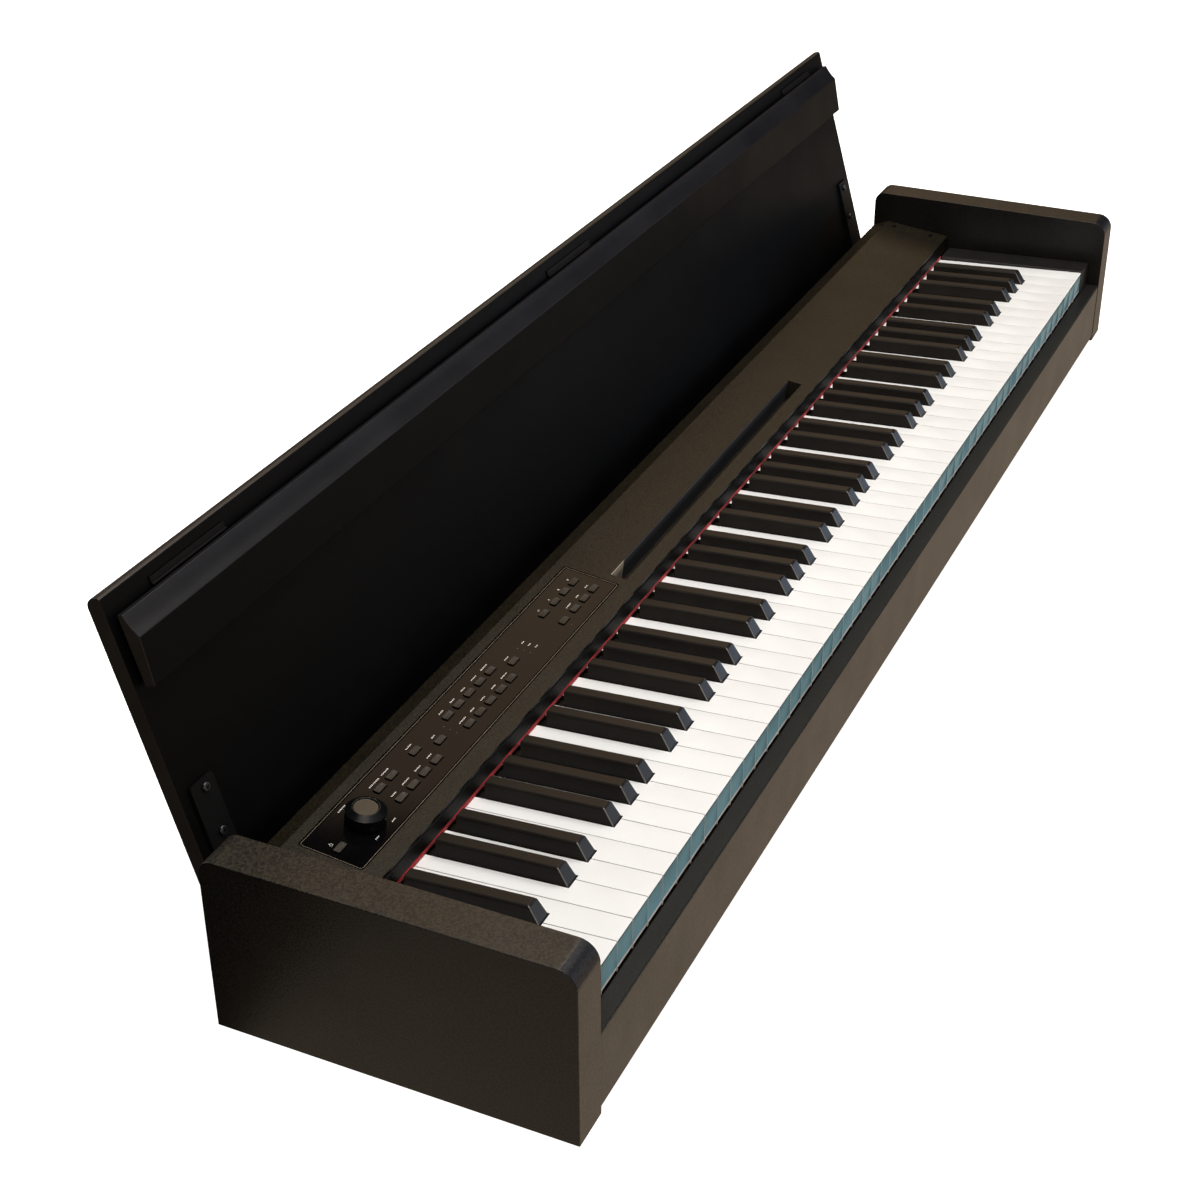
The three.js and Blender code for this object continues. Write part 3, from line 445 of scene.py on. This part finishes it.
cameraSetup = {
    'place': Vector((-1463.7, -552.7, 898.7)) * mm,
    'right': Vector((0.4194, -0.9078, -0.0048)),
    'up': Vector((0.4642, 0.2099, 0.8605)),
    'lens': 61.2, 'sensor': 36.0, 'near': 0.05, 'far': 60,
}
lightSetup = {
    'overhead': {'place': (-0.1, -0.35, 2.3), 'size': (2.6, 1.2), 'power': 58, 'colour': '#fffaf3'},
    'front': {'place': (0.2, -2.8, 1.0), 'size': (3.2, 1.0), 'power': 22, 'colour': '#fff3e4'},
    'warm wall': {'place': (3.9, 2.0, 3.0), 'size': (3.6, 2.3), 'power': 27, 'colour': '#ffd9b0'},
    'cool window': {'place': (2.6, -2.0, 0.5), 'size': (0.9, 0.9), 'power': 6, 'colour': '#cfe2ff'},
    'left': {'place': (-3.0, -0.5, 0.9), 'size': (1.6, 1.2), 'power': 12, 'colour': '#fff6ee'},
    'back': {'place': (-0.4, 2.9, 1.3), 'size': (2.6, 1.0), 'power': 16, 'colour': '#ffffff'},
    'floor bounce': {'place': (1.0, -1.9, -0.05), 'size': (4.0, 4.0), 'power': 32, 'colour': '#ffe6ca'},
}
lightAim = (0, 0, 0.1)
stageLook = {'size': 14, 'drop': 0.2, 'colour': '#ffffff', 'roughness': 0.9, 'glow': 0.9, 'sky': 1.0}


def addCamera(setup):
    data = bpy.data.cameras.new("camera")
    data.lens = setup['lens']
    data.sensor_width = setup['sensor']
    data.clip_start = setup['near']
    data.clip_end = setup['far']
    camera = bpy.data.objects.new("camera", data)
    right = setup['right'].normalized()
    back = right.cross(setup['up']).normalized()
    facing = Matrix((right, back.cross(right), back)).transposed().to_4x4()
    camera.matrix_world = Matrix.Translation(setup['place']) @ facing
    bpy.context.scene.collection.objects.link(camera)
    bpy.context.scene.camera = camera


def addSoftbox(name, setup):
    data = bpy.data.lights.new(name, 'AREA')
    data.shape = 'RECTANGLE'
    data.size, data.size_y = setup['size']
    data.energy = setup['power']
    data.color = linear(setup['colour'])[:3]
    light = bpy.data.objects.new(name, data)
    light.location = setup['place']
    light.rotation_mode = 'QUATERNION'
    aim = Vector(lightAim) - Vector(setup['place'])
    if setup['place'][2] < 0:
        # a light under the floor shines straight up
        aim = Vector((0, 0, 1))
    light.rotation_quaternion = aim.to_track_quat('-Z', 'Y')
    bpy.context.scene.collection.objects.link(light)


addCamera(cameraSetup)
for name, setup in lightSetup.items():
    addSoftbox(name, setup)
world = bpy.data.worlds.new("studio")
bpy.context.scene.world = world
world.use_nodes = True
world.node_tree.nodes["Background"].inputs["Color"].default_value = linear(stageLook['colour'])
world.node_tree.nodes["Background"].inputs["Strength"].default_value = stageLook['sky']
world.cycles_visibility.glossy = False
world.cycles_visibility.diffuse = False
bpy.context.scene.view_settings.view_transform = 'Standard'

deselectAll()
bpy.ops.mesh.primitive_plane_add(size=stageLook['size'], location=(0, 0, -stageLook['drop'] * mm))
studioFloor = bpy.context.active_object
studioFloor.name = "studio_floor"
floorPaint = newMaterial("matt paint, floor", {
    'Base Color': linear(stageLook['colour']), 'Roughness': stageLook['roughness'],
    'Emission Color': linear(stageLook['colour']), 'Emission Strength': stageLook['glow']})[0]
studioFloor.data.materials.append(floorPaint)
studioFloor.visible_diffuse = False
studioFloor.visible_glossy = False
studioFloor.visible_shadow = False
print("camera and light set")


# Cabinet: the edge rounding of each board in millimetres

boardLook = {'panel': 0.7, 'cheek': 0.8, 'frontBoard': 0.6, 'slip': 0.3, 'backBoard': 0.5,
             'bottomBoard': 0.4, 'topPanel': 0.25, 'fallboard': 0.5, 'overlay': 0.15, 'felt': 0.25,
             'cornerTurn': 0.2, 'topPanelFront': 0.6}
# outer and inner sides get painted shade; the rounded front corners get a painted cool reflection
for side, outward in (("left", -1), ("right", 1)):
    panel = finishedCopy(f"{side}_end_panel", f"{side}_end_panel_foil", boardLook['panel'], foilSide, 3)
    paintFaces(panel, foilOuterShade, lambda face: face.normal.x * outward > pickLimits['square'])
    paintFaces(panel, foilInnerShade, lambda face: face.normal.x * outward < -pickLimits['square'])
    paintFaces(panel, foilCornerReflection, lambda face: face.normal.y < -boardLook['cornerTurn']
               and face.normal.z > boardLook['cornerTurn'])
    finishedCopy(f"{side}_cheek_block", f"{side}_cheek_cover", boardLook['cheek'], cheekPlastic, 3)
finishedCopy("front_board", "front_board_foil", boardLook['frontBoard'], foilFront, 3)
slipPiece = finishedCopy("key_slip", "key_slip_foil", boardLook['slip'], foilSlip)
# the slip's forward-facing faces get the painted shade
paintFaces(slipPiece, slipEdgeShade, lambda face: face.normal.y < pickLimits['front'])
finishedCopy("back_board", "back_board_foil", boardLook['backBoard'], foilTop)
finishedCopy("bottom_board", "bottom_board_raw", boardLook['bottomBoard'], rawBoard)
topPanelPiece = finishedCopy("top_panel", "top_panel_foil", boardLook['topPanel'], foilTop)
panelEdge = min(vertex.co.y for vertex in topPanelPiece.data.vertices) + boardLook['topPanelFront'] * mm
paintFaces(topPanelPiece, pianoBlack,
           lambda face: face.normal.y < pickLimits['front'] and face.center.y < panelEdge)
finishedCopy("fallboard", "fallboard_gloss", boardLook['fallboard'], pianoBlack, 3)
finishedCopy("control_overlay", "overlay_sheet", boardLook['overlay'], overlayGloss)
finishedCopy("key_felt", "key_felt_strip", boardLook['felt'], redFelt)
print("cabinet finished")


# Keys: tops, fronts in painted teal shade with a pale lip and small tabs below, sides in painted shade, and
# the black keys' noses with a painted cool reflection and painted edge highlights

keyLook = {'edge': 0.25, 'lipHeight': 2.4, 'edgeShade': 0.9, 'chamfer': 1.1, 'frontFacing': -0.85,
           'frontDepth': 3, 'notchStart': 45}
tabLook = {'pitch': 23.5, 'inset': 0.1, 'width': 1.5, 'drop': 3.0, 'front': 0.4, 'back': 1.8,
           'root': 1, 'edge': 0.2}
blackKeyLook = {'edge': 0.55, 'noseReach': 9, 'sideFacing': 0.85, 'edgeFacing': (-0.84, -0.2), 'edgeArea': 14}


def splitFrontAt(piece, height):
    # one more edge line round the fronts, so that the lip has faces of its own
    makeActive(piece)
    bpy.ops.object.mode_set(mode='EDIT')
    bpy.ops.mesh.select_all(action='SELECT')
    bpy.ops.mesh.bisect(plane_co=(0, 0, height), plane_no=(0, 0, 1))
    bpy.ops.object.mode_set(mode='OBJECT')


def keyTabs(piece, front, foot):
    # one small pale tab hangs below the lip at the bass edge of each key
    left = min(vertex.co.x for vertex in piece.data.vertices) / mm
    right = max(vertex.co.x for vertex in piece.data.vertices) / mm
    tabs = []
    for index in range(round((right - left) / tabLook['pitch'])):
        edge = left + index * tabLook['pitch'] + tabLook['inset']
        low = (edge, front / mm + tabLook['front'], foot / mm - tabLook['drop'])
        high = (edge + tabLook['width'], front / mm + tabLook['back'], foot / mm + tabLook['root'])
        tab = blockAt("key_tab", low, high)
        bevelEdges(tab, tabLook['edge'], 2)
        tab.data.materials.append(keyLipPlastic)
        tabs.append(tab)
    return tabs


def finishWhiteKeys(node):
    piece = copyOfNode(node, node + "_acrylic")
    bevelEdges(piece, keyLook['edge'], 2)
    front = min(vertex.co.y for vertex in piece.data.vertices)
    frontReach = front + keyLook['frontDepth'] * mm
    foot = min(vertex.co.z for vertex in piece.data.vertices if vertex.co.y < frontReach)
    lipTop = foot + keyLook['lipHeight'] * mm
    crest = max(vertex.co.z for vertex in piece.data.vertices) - keyLook['chamfer'] * mm
    shadeFoot = crest - keyLook['edgeShade'] * mm
    splitFrontAt(piece, lipTop)
    splitFrontAt(piece, shadeFoot)
    piece.data.materials.append(keyTopAcrylic)
    isSide = lambda face: abs(face.normal.x) > pickLimits['sideways']
    isFront = lambda face: face.normal.y < keyLook['frontFacing'] and face.center.y < frontReach
    # the sides get the painted shade
    paintFaces(piece, keySideShade, isSide)
    corners = piece.data.vertices
    notchStart = front + keyLook['notchStart'] * mm
    paintFaces(piece, notchShade, lambda face: isSide(face)
               and min(corners[i].co.y for i in face.vertices) > notchStart)
    # the fronts get the painted teal shade
    paintFaces(piece, keyFrontShade, isFront)
    # the top of each front gets the painted shadow line
    paintFaces(piece, keyEdgeShade, lambda face: isFront(face) and face.center.z > shadeFoot)
    paintFaces(piece, keyLipPlastic, lambda face: face.center.y < frontReach and face.center.z < lipTop)
    piece = joinPieces([piece] + keyTabs(piece, front, foot), piece.name)
    return settle(piece, bodyOf(node), 'key_white', node)


def finishBlackKeys(node):
    piece = copyOfNode(node, node + "_satin")
    look = blackKeyLook
    bevelEdges(piece, look['edge'], 3)
    piece.data.materials.append(ebonyPlastic)
    noseReach = min(vertex.co.y for vertex in piece.data.vertices) + look['noseReach'] * mm
    paintFaces(piece, ebonySide, lambda face: abs(face.normal.x) > look['sideFacing'])
    # the noses get the painted cool reflection
    paintFaces(piece, ebonyNoseReflection, lambda face: face.normal.y < pickLimits['front'])
    steepest, flattest = look['edgeFacing']
    # the bevels round the nose get the painted highlight
    paintFaces(piece, ebonyEdgeHighlight, lambda face: steepest < face.normal.y < flattest
               and face.center.y < noseReach and face.area < look['edgeArea'] * mm * mm)
    return settle(piece, bodyOf(node), 'key_black', node)


for node in sorted(nodes):
    if node.startswith("white_key"):
        finishWhiteKeys(node)
    elif node.startswith("black_key"):
        finishBlackKeys(node)
print("keys finished")


# Control overlay: rim, buttons, marks and lamps

overlaySize = {'left': -601.0, 'width': 394.0, 'front': 13.9, 'depth': 48.0, 'radius': 2.5}
# the first and last rows are dark rings of painted shade along the overlay's border gap and groove; the
# middle row is the pale rim
ringRows = (
    ("overlay_border_shade", {'inset': 0.05, 'width': 0.75, 'height': 0.06}, darkSealAndShade),
    ("overlay_rim", {'inset': 0.85, 'width': 0.4, 'height': 0.1}, edgeLine),
    ("overlay_groove_shade", {'inset': 1.3, 'width': 0.9, 'height': 0.04}, darkSealAndShade),
)
ringLook = {'sink': 0.05, 'through': 1, 'smallestRadius': 0.3, 'upright': 1e-6}
printLook = {'lift': 0.02, 'thickness': 0.03, 'markHeight': 0.95, 'dash': 1.15, 'gap': 0.45}
buttonLook = {'corner': 1.1, 'edge': 0.4, 'faceInset': 0.35, 'faceDrop': 0.1, 'uprightLength': 2.5,
              'upright': 0.01, 'level': 0.99, 'slack': 0.05}


def overlayRing(name, look, material):
    # a rounded frame that follows the overlay's edge
    size = overlaySize
    inset = look['inset']
    width = look['width']
    through = ringLook['through']
    low = (size['left'] + inset, size['front'] + inset, slope['overlayLevel'] - ringLook['sink'])
    high = (size['left'] + size['width'] - inset, size['front'] + size['depth'] - inset,
            slope['overlayLevel'] + look['height'])
    ring = blockAt(name, low, high)
    inner = blockAt(name + "_hole", (low[0] + width, low[1] + width, low[2] - through),
                    (high[0] - width, high[1] - width, high[2] + through))
    outerRadius = size['radius'] - inset / 2
    for piece, radius in ((ring, outerRadius), (inner, outerRadius - width)):
        roundEdges(piece, lambda along: max(abs(along.x), abs(along.y)) < ringLook['upright'],
                   max(radius, ringLook['smallestRadius']), 5)
    cutAway(ring, inner)
    return layOnSlope(ring, material, "gloss_black")


def finishButtons(node):
    piece = copyOfNode(node, node + "_caps")
    up = slopeFrame.to_3x3() @ Vector((0, 0, 1))
    # the long upright corners of the caps
    roundEdges(piece, lambda along: abs(along.dot(up)) > buttonLook['uprightLength'] * mm
               and along.cross(up).length < buttonLook['upright'] * mm, buttonLook['corner'], 4)
    bevelEdges(piece, buttonLook['edge'], 3)
    onSlope = slopeFrame.inverted()
    crest = max((onSlope @ vertex.co).z for vertex in piece.data.vertices)
    slack = buttonLook['slack'] * mm
    editFaces(piece, lambda face: face.normal.dot(up) > buttonLook['level']
              and (onSlope @ face.center).z > crest - slack)
    bpy.ops.mesh.inset(thickness=buttonLook['faceInset'] * mm, depth=-buttonLook['faceDrop'] * mm,
                       use_individual=True)
    endEdit()
    piece.data.materials.append(buttonPlastic)
    lowest = crest - buttonLook['faceDrop'] * mm - slack
    paintFaces(piece, buttonFace, lambda face: face.normal.dot(up) > pickLimits['square']
               and (onSlope @ face.center).z > lowest)
    return settle(piece, node, 'dark_plastic', node)


def printedBar(x, along, length, height):
    # one short printed stroke, standing for a plain key mark
    level = slope['overlayLevel'] + printLook['lift']
    return blockAt("mark", (x - length / 2, along - height / 2, level),
                   (x + length / 2, along + height / 2, level + printLook['thickness']))


def printedDot(x, along, radius, sides=20):
    level = slope['overlayLevel'] + printLook['lift']
    return discAt("mark", (x, along, level), radius, printLook['thickness'], sides)


# centre and length of the plain strokes behind the buttons
strokes = [
    (-521.2, 52.0, 12.0), (-507.2, 52.0, 9.5), (-524.6, 35.1, 6.0), (-508.5, 35.1, 9.0), (-492.1, 35.1, 7.5),
    (-476.1, 35.1, 7.0), (-474.7, 52.0, 8.0), (-455.7, 43.2, 5.0), (-428.2, 34.9, 9.5), (-413.6, 34.9, 6.0),
    (-397.7, 34.9, 6.5), (-381.2, 34.9, 7.0), (-364.8, 34.9, 9.0), (-428.3, 52.0, 6.5), (-411.8, 52.0, 6.5),
    (-395.7, 52.0, 7.0), (-379.4, 52.0, 7.5), (-363.6, 52.0, 10.0), (-344.5, 43.2, 6.0), (-256.2, 34.9, 8.0),
    (-240.4, 34.9, 5.0), (-223.9, 34.9, 5.5), (-547.4, 22.0, 4.5), (-568.6, 22.0, 4.5), (-555.5, 56.5, 9.4),
]
lamps = [(-328.2, 42.2), (-328.2, 36.9), (-328.2, 31.6), (-441.5, 42.5), (-442.1, 36.9), (-443.0, 31.7),
         (-277.9, 21.7)]
lampStrokes = [(-319.5, 42.2), (-319.0, 36.9), (-318.0, 31.6)]
lampStrokeSize = (4.0, 0.7)
lampLook = {'sink': 0.02, 'radius': 0.6, 'height': 0.2, 'sides': 16, 'edge': 0.12}
# stop, play, record and pause shapes behind the transport buttons
transportLook = {'along': 51.2, 'stop': (-240.0, 1.5), 'record': (-223.5, 0.85), 'play': (-257.0, 1.0),
                 'pause': (-275.4, -274.2), 'pauseWidth': 0.45}
powerSign = {'x': -590.0, 'along': 43.6, 'outer': 1.3, 'inner': 0.95, 'height': 0.03, 'sides': 24,
             'through': 1, 'strokeAlong': 44.9, 'strokeWidth': 0.35, 'strokeLength': 1.4}


def addMarks():
    pieces = []
    for x, along, length in strokes:
        # a plain row of dashes
        step = printLook['dash'] + printLook['gap']
        count = max(2, round(length / step))
        for index in range(count):
            at = x + (index - (count - 1) / 2) * step
            pieces.append(printedBar(at, along, printLook['dash'], printLook['markHeight']))
    pieces += [printedBar(x, along, *lampStrokeSize) for x, along in lampStrokes]
    along = transportLook['along']
    stopX, stopSize = transportLook['stop']
    pieces.append(printedBar(stopX, along, stopSize, stopSize))
    recordX, recordRadius = transportLook['record']
    pieces.append(printedDot(recordX, along, recordRadius))
    playX, playRadius = transportLook['play']
    pieces.append(printedDot(playX, along, playRadius, 3))
    for x in transportLook['pause']:
        pieces.append(printedBar(x, along, transportLook['pauseWidth'], stopSize))
    return layOnSlope(joinPieces(pieces, "overlay_marks"), printWhite, "gloss_black")


def addPowerSign():
    # the plain ring and stroke of a power button
    sign = powerSign
    level = slope['overlayLevel'] + printLook['lift']
    low = slope['overlayLevel'] - sign['through']
    x, along = sign['x'], sign['along']
    ring = discAt("power_sign", (x, along, level), sign['outer'], sign['height'], sign['sides'])
    hole = discAt("power_hole", (x, along, low), sign['inner'], 2 * sign['through'], sign['sides'])
    cutAway(ring, hole)
    stroke = printedBar(x, sign['strokeAlong'], sign['strokeWidth'], sign['strokeLength'])
    return layOnSlope(joinPieces([ring, stroke], "power_sign"), printWhite, "gloss_black")


def addLamps():
    pieces = []
    for x, along in lamps:
        place = (x, along, slope['overlayLevel'] - lampLook['sink'])
        lamp = discAt("lamp", place, lampLook['radius'], lampLook['height'], lampLook['sides'])
        bevelEdges(lamp, lampLook['edge'], 2)
        pieces.append(lamp)
    return layOnSlope(joinPieces(pieces, "overlay_lamps"), knobDiscPlastic, "gloss_black")


for name, look, material in ringRows:
    overlayRing(name, look, material)
for node in sorted(nodes):
    if node.endswith("_button") or node.endswith("_buttons"):
        finishButtons(node)
addMarks()
addPowerSign()
addLamps()
print("controls finished")


# Groove for the music rest: two thin sheets on its back wall, painted shade along most of it and a painted
# patch of light at the bass end

grooveLook = {'left': -197.5, 'right': 204.0, 'back': 26.1, 'depth': 19.0, 'litPatchEnd': -173.0, 'thickness': 0.7,
              'endGap': 0.2, 'joint': 0.3, 'backGap': 0.02, 'topDrop': 0.4, 'edge': 0.2}


def addGrooveWallPaint():
    look = grooveLook
    for name, start, end, material in (
            ("groove_lit_patch", look['left'] + look['endGap'], look['litPatchEnd'], grooveLitPatch),
            ("groove_wall_shade", look['litPatchEnd'] + look['joint'], look['right'] - look['endGap'], grooveWallShade)):
        piece = blockAt(name, (start, look['back'] - look['thickness'], look['endGap'] - look['depth']),
                        (end, look['back'] - look['backGap'], -look['topDrop']))
        bevelEdges(piece, look['edge'], 2)
        layOnSlope(piece, material, "dark_plastic")


addGrooveWallPaint()
print("groove lined")


# Volume knob: black cap with a sloping shoulder and a dull disc in its dished top

knobLook = {'x': -558.01, 'along': 37.0, 'edge': 0.5, 'edgeAngle': 20, 'discRadius': 8.5, 'discAbove': 10,
            'ringRadius': 12.9, 'ringThickness': 0.3, 'ringSink': 0.25}
knobPlace = slopeFrame @ moved(knobLook['x'], knobLook['along'], 0)


def finishKnob():
    piece = copyOfNode("volume_knob", "volume_knob_cap")
    bevelEdges(piece, knobLook['edge'], 3, angle=knobLook['edgeAngle'])
    inverse = knobPlace.inverted()
    piece.data.materials.append(knobPlastic)
    up = knobPlace.to_3x3() @ Vector((0, 0, 1))

    def onDisc(face):
        centre = inverse @ face.center
        return face.normal.dot(up) > pickLimits['square'] and centre.z > knobLook['discAbove'] * mm \
            and math.hypot(centre.x, centre.y) < knobLook['discRadius'] * mm

    paintFaces(piece, knobDiscPlastic, onDisc)
    return settle(piece, "volume_knob", "dark_plastic", "volume_knob")


def addKnobSeal():
    # a soft ring where the knob meets the overlay
    deselectAll()
    bpy.ops.mesh.primitive_torus_add(
        major_radius=knobLook['ringRadius'] * mm, minor_radius=knobLook['ringThickness'] * mm,
        major_segments=64, minor_segments=10)
    ring = bpy.context.active_object
    ring.name = "knob_ring"
    bpy.ops.object.shade_smooth()
    ring.matrix_world = knobPlace @ moved(0, 0, -knobLook['ringSink'])
    ring.data.materials.append(darkSealAndShade)
    return settle(ring, "cabinet", "gloss_black")


finishKnob()
addKnobSeal()
print("knob finished")


# Screws: a pan head with a cross recess, modelled once and copied

screwLook = {'radius': 3.4, 'height': 2.0, 'recess': 3.4, 'recessWidth': 0.9, 'recessDepth': 1.1,
             'sink': 0.1, 'crown': 0.42, 'sides': 28, 'above': 1, 'sideTurn': 0.5, 'smooth': 35}
panelScrewLook = dict(screwLook, radius=2.3, height=1.0, recess=2.2, recessWidth=0.6, recessDepth=0.5)
# side, place along the arm or the slope, and turn of the recess
armScrewRows = {'x': 617.8, 'drop': 2.3,
                'rows': ((-1, 132.0, 20), (-1, 164.5, 55), (1, 132.0, 38), (1, 164.5, 8))}
panelScrewRows = {'x': 629.6, 'rows': ((-1, 16.3, 15), (1, 16.3, 40), (-1, 58.0, 70), (1, 58.0, 5))}


def makeScrew(name, look):
    head = discAt(name, (0, 0, -look['sink']), look['radius'], look['height'] + look['sink'], look['sides'])
    editFaces(head, lambda face: face.normal.z > pickLimits['square'])
    bpy.ops.mesh.bevel(offset=look['height'] * look['crown'] * mm, segments=4, affect='EDGES')
    endEdit()
    wide = look['recessWidth'] / 2
    deep = look['height'] - look['recessDepth']
    cross = blockAt("cross", (-wide, -wide, deep), (wide, wide, look['height'] + look['above']))
    editFaces(cross, lambda face: abs(face.normal.z) < look['sideTurn'])
    bpy.ops.mesh.extrude_faces_move(
        TRANSFORM_OT_shrink_fatten={'value': (look['recess'] / 2 - wide) * mm})
    endEdit()
    cutAway(head, cross)
    makeActive(head)
    bpy.ops.object.shade_smooth_by_angle(angle=math.radians(look['smooth']))
    return head


def placeScrews(name, places, look, body, slot, material):
    pattern = makeScrew("screw_pattern", look)
    pieces = [copyPiece(pattern, name, place) for place in places]
    bpy.data.objects.remove(pattern)
    whole = joinPieces(pieces, name) if len(pieces) > 1 else pieces[0]
    makeActive(whole)
    bpy.ops.object.transform_apply(location=True, rotation=True, scale=True)
    whole.data.materials.append(material)
    return settle(whole, body, slot)


def onLidUnderside(x, y, drop, turn):
    # a place under the closed lid, facing down, taken along to the open lid
    return lidFrame @ moved(x, y, lid['under'] - drop) @ turned(180, 'X') @ turned(turn, 'Z')


def onTopPanel(x, along, turn):
    return slopeFrame @ moved(x, along, 0) @ turned(turn, 'Z')


armScrews = [onLidUnderside(side * armScrewRows['x'], y, armScrewRows['drop'], turn)
             for side, y, turn in armScrewRows['rows']]
placeScrews("hinge_arm_screws", armScrews, screwLook, "lid", "steel", screwSteel)
panelScrews = [onTopPanel(side * panelScrewRows['x'], along, turn)
               for side, along, turn in panelScrewRows['rows']]
placeScrews("top_panel_screws", panelScrews, panelScrewLook, "cabinet", "steel", blackSteel)
print("screws placed")


# Lid, flap and hinges

lidLook = {'edge': 0.35, 'flapEdge': 0.6, 'armEdge': 0.3, 'hingeEdge': 0.15, 'flapEnd': 0.7, 'crestTurn': 0.5}
lidPiece = copyOfNode("lid_board", "lid_foil")
bevelEdges(lidPiece, lidLook['edge'], 2)
lidPiece.data.materials.append(lidSatin)
inward = lidFrame.to_3x3() @ Vector((0, 0, -1))
paintFaces(lidPiece, lidEdgeFoil, lambda face: face.normal.dot(inward) < pickLimits['square'])
settle(lidPiece, "lid", partRows["lid_board"]["material_slot"], "lid_board")
flapPiece = copyOfNode("front_flap", "front_flap_foil")
bevelEdges(flapPiece, lidLook['flapEdge'], 3)
flapPiece.data.materials.append(lidSatin)
paintFaces(flapPiece, lidEdgeFoil, lambda face: abs(face.normal.x) > lidLook['flapEnd'])
# upward faces of the flap get the painted cool reflection
paintFaces(flapPiece, flapCrestReflection, lambda face: face.normal.z > lidLook['crestTurn'])
settle(flapPiece, "flap", partRows["front_flap"]["material_slot"], "front_flap")
for node in ("left_hinge_arm", "right_hinge_arm"):
    finishedCopy(node, node + "_plate", lidLook['armEdge'], blackSteel)
for node in ("flap_hinge_left", "flap_hinge_centre", "flap_hinge_right"):
    finishedCopy(node, node + "_leaf", lidLook['hingeEdge'], blackSteel)
print("lid finished")


# Inside, seen through slots and from below

inside = {
    'keybed_frame': chassisPlastic, 'key_contact_board': solderMask, 'main_circuit_board': solderMask,
    'left_speaker': speakerSteel, 'right_speaker': speakerSteel, 'jack_panel': cheekPlastic,
    'left_hinge_bracket': hingeSteel, 'right_hinge_bracket': hingeSteel,
}
for node, material in inside.items():
    nodes[node].data.materials.clear()
    nodes[node].data.materials.append(material)
print("inside finished")
